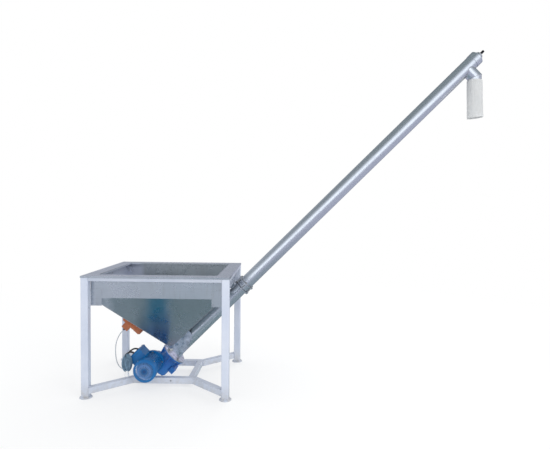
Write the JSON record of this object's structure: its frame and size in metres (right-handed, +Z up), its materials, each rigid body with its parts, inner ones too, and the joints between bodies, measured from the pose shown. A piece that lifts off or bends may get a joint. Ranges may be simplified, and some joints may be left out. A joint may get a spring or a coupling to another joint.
{
  "type": "grain auger",
  "caption": "Mobile hopper auger: square-tube frame with a sheet-steel hopper, a geared motor and an inclined screw tube that lifts grain to a sleeved discharge spout.",
  "frame": {"origin": "on the floor, in the middle of the overall length and width", "axes": "+Z up, +X towards the auger's discharge end, -Y the front, where the motor's fan is"},
  "size_m": [3.4068, 1.0398, 2.9717],
  "materials": {
    "black_plastic": "moulded black plastic",
    "blue_paint": "blue enamel on cast iron and aluminium",
    "bright_steel": "machined or zinc-plated steel",
    "bronze": "cast bronze",
    "core_steel": "laminated electrical steel",
    "fasteners": "zinc-plated bolts and nuts",
    "frame_paint": "white gloss paint on steel tube",
    "grey_cable": "light grey cable sheath",
    "orange_paint": "orange enamel on cast aluminium",
    "rubber": "nitrile rubber",
    "sleeve_fabric": "white translucent woven fabric",
    "stainless": "rolled stainless sheet and tube",
    "white_plastic": "moulded white plastic"
  },
  "bodies": {
    "frame": {"cable_glands": "black_plastic", "cross_members": "frame_paint", "discharge_sleeve": "sleeve_fabric", "discharge_spout": "stainless", "drive_flange": "stainless", "drive_flange_bolts": "fasteners", "fan_cover": "blue_paint", "foot_plates": "frame_paint", "gearbox_cover": "blue_paint", "gearbox_cover_bolts": "fasteners", "gearbox_housing": "blue_paint", "head_bearing_housing": "bright_steel", "head_bolts": "fasteners", "head_cap": "stainless", "hopper_cone": "stainless", "hopper_gussets": "stainless", "hopper_rim": "stainless", "hopper_skirt": "stainless", "inlet_housing": "stainless", "leg_front_left": "frame_paint", "leg_front_right": "frame_paint", "leg_rear_left": "frame_paint", "leg_rear_right": "frame_paint", "lower_brace_front": "frame_paint", "lower_brace_rear": "frame_paint", "lower_tube": "stainless", "mains_plug": "white_plastic", "motor_flange": "blue_paint", "motor_flange_bolts": "fasteners", "motor_frame": "blue_paint", "motor_rear_shield": "blue_paint", "motor_stator": "core_steel", "power_cable": "grey_cable", "shaft_bearings": "bright_steel", "shaft_seal": "rubber", "terminal_box": "blue_paint", "terminal_box_lid": "blue_paint", "top_rails_long": "frame_paint", "top_rails_short": "frame_paint", "tube_hanger": "stainless", "tube_joint_bolts": "fasteners", "tube_joint_gaskets": "rubber", "upper_tube": "stainless", "vibrator_bearing_plates": "orange_paint", "vibrator_bolts": "fasteners", "vibrator_cable": "grey_cable", "vibrator_covers": "orange_paint", "vibrator_housing": "orange_paint", "vibrator_mount": "bright_steel"},
    "screw": {"screw_shaft": "bright_steel", "screw_flight": "stainless", "worm_wheel": "bronze"},
    "motor_rotor": {"worm_shaft": "bright_steel", "motor_rotor_core": "core_steel", "cooling_fan": "black_plastic"},
    "vibrator_rotor": {"vibrator_shaft": "bright_steel", "vibrator_weights": "bright_steel"}
  },
  "joints": [
    {"name": "screw_spin", "type": "hinge", "parent": "frame", "child": "screw", "pos_m": [-1.08335, 0, 0.185], "axis": [0.7071, 0, 0.7071], "continuous": true},
    {"name": "motor_spin", "type": "hinge", "parent": "frame", "child": "motor_rotor", "pos_m": [-1.21205, 0, 0.17652], "axis": [0, -1, 0], "continuous": true},
    {"name": "vibrator_spin", "type": "hinge", "parent": "frame", "child": "vibrator_rotor", "pos_m": [-1.40987, 0, 0.49603], "axis": [0.7309, 0, -0.6825], "continuous": true}
  ],
  "couplings": [
    {"joint": "motor_spin", "follows": "screw_spin", "ratio": 7}
  ]
}
